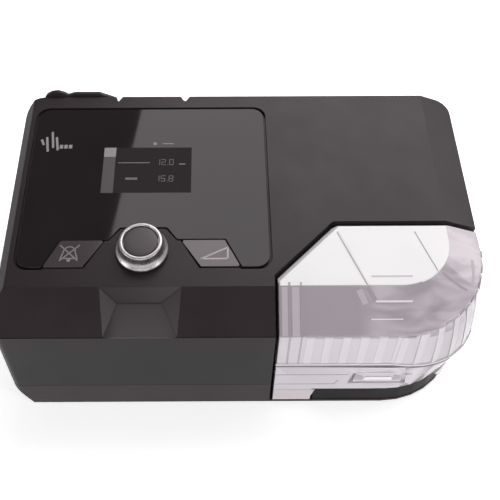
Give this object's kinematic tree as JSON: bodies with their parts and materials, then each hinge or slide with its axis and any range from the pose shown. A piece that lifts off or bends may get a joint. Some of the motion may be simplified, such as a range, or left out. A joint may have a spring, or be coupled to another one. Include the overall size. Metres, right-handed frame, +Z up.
{
  "type": "mechanical ventilator",
  "caption": "Black bench-top non-invasive ventilator with sloping glossy control panel, knob, side keys and a clear slide-in humidifier tank at its front right corner.",
  "frame": {"origin": "centre of the overall box on the surface the machine stands on", "axes": "+X to the machine's right, +Y to its back, +Z up"},
  "size_m": [0.29, 0.194, 0.1159],
  "materials": {
    "housing_plastic": "satin",
    "gloss_black": "gloss",
    "dark_plastic": "matte",
    "clear_plastic": "clear gloss",
    "steel": "brushed",
    "rubber": "matte",
    "board": "satin",
    "foam": "open-cell foam",
    "white_plastic": "satin"
  },
  "bodies": {
    "housing": {"air_filter": "foam", "blower_base": "white_plastic", "blower_cover": "white_plastic", "blower_mount_1": "rubber", "blower_mount_2": "rubber", "blower_mount_3": "rubber", "buzzer": "dark_plastic", "card_socket": "steel", "control_plate": "gloss_black", "dc_socket": "dark_plastic", "encoder_body": "steel", "flow_sensor": "dark_plastic", "foot_1": "rubber", "foot_2": "rubber", "foot_3": "rubber", "foot_4": "rubber", "heater_insulator": "white_plastic", "heater_tray": "dark_plastic", "housing_screw_1": "steel", "housing_screw_2": "steel", "housing_screw_3": "steel", "housing_screw_4": "steel", "indicator_lens": "white_plastic", "inlet_duct": "white_plastic", "inlet_gasket": "rubber", "lcd_module": "gloss_black", "lower_shell": "housing_plastic", "main_board": "board", "motor": "steel", "mute_switch": "white_plastic", "outlet_duct": "white_plastic", "outlet_gasket": "rubber", "outlet_port": "housing_plastic", "power_board": "board", "ramp_switch": "white_plastic", "silencer_foam": "foam", "upper_shell": "housing_plastic"},
    "knob_slider": {"encoder_plunger": "white_plastic"},
    "knob": {"knob_body": "steel", "knob_cap": "gloss_black", "encoder_shaft": "steel"},
    "mute_key": {"mute_button": "dark_plastic"},
    "ramp_key": {"ramp_button": "dark_plastic"},
    "rotor": {"impeller": "white_plastic", "motor_shaft": "steel"},
    "warmer": {"heater_plate": "steel"},
    "tank": {"tank_base": "clear_plastic", "tank_plate": "steel", "plate_seal": "rubber", "tank_seal": "rubber", "lid_pin": "steel", "latch_pin": "steel"},
    "lid": {"tank_lid": "clear_plastic", "tank_baffle": "clear_plastic"},
    "latch": {"tank_latch": "clear_plastic"},
    "filter_door": {"filter_cover": "housing_plastic"},
    "card_door": {"data_door": "housing_plastic"}
  },
  "joints": [
    {"name": "knob_press", "type": "slide", "parent": "housing", "child": "knob_slider", "axis": [0, 0.1461, -0.9893], "range_m": [0, 0.0009], "stiffness_N_per_m": 700, "springref_m": -0.0006},
    {"name": "knob_turn", "type": "hinge", "parent": "knob_slider", "child": "knob", "pos_m": [-0.06, -0.04786, 0.09776], "axis": [0, -0.1461, 0.9893], "continuous": true},
    {"name": "mute_press", "type": "slide", "parent": "housing", "child": "mute_key", "axis": [0, 0.1461, -0.9893], "range_m": [0, 0.0007], "stiffness_N_per_m": 500, "springref_m": -0.0006},
    {"name": "ramp_press", "type": "slide", "parent": "housing", "child": "ramp_key", "axis": [0, 0.1461, -0.9893], "range_m": [0, 0.0007], "stiffness_N_per_m": 500, "springref_m": -0.0006},
    {"name": "impeller_spin", "type": "hinge", "parent": "housing", "child": "rotor", "pos_m": [0.056, 0.031, 0.045], "axis": [0, 0, 1], "continuous": true},
    {"name": "heater_press", "type": "slide", "parent": "housing", "child": "warmer", "axis": [0, 0, -1], "range_m": [0, 0.0004], "stiffness_N_per_m": 4000, "springref_m": -0.0006},
    {"name": "tank_slide", "type": "slide", "parent": "housing", "child": "tank", "axis": [0, -1, 0], "range_m": [0, 0.13]},
    {"name": "lid_hinge", "type": "hinge", "parent": "tank", "child": "lid", "pos_m": [0.1, -0.0333, 0.0949], "axis": [-1, 0, 0], "range_deg": [0, 44]},
    {"name": "latch_hinge", "type": "hinge", "parent": "tank", "child": "latch", "pos_m": [0.0845, -0.0954, 0.0369], "axis": [-1, 0, 0], "range_deg": [0, 35]},
    {"name": "filter_door_hinge", "type": "hinge", "parent": "housing", "child": "filter_door", "pos_m": [-0.108, 0.0762, 0.0424], "axis": [-1, 0, 0], "range_deg": [0, 90]},
    {"name": "card_door_hinge", "type": "hinge", "parent": "housing", "child": "card_door", "pos_m": [-0.0595, 0.07385, 0.0648], "axis": [-1, 0, 0], "range_deg": [0, 90]}
  ]
}
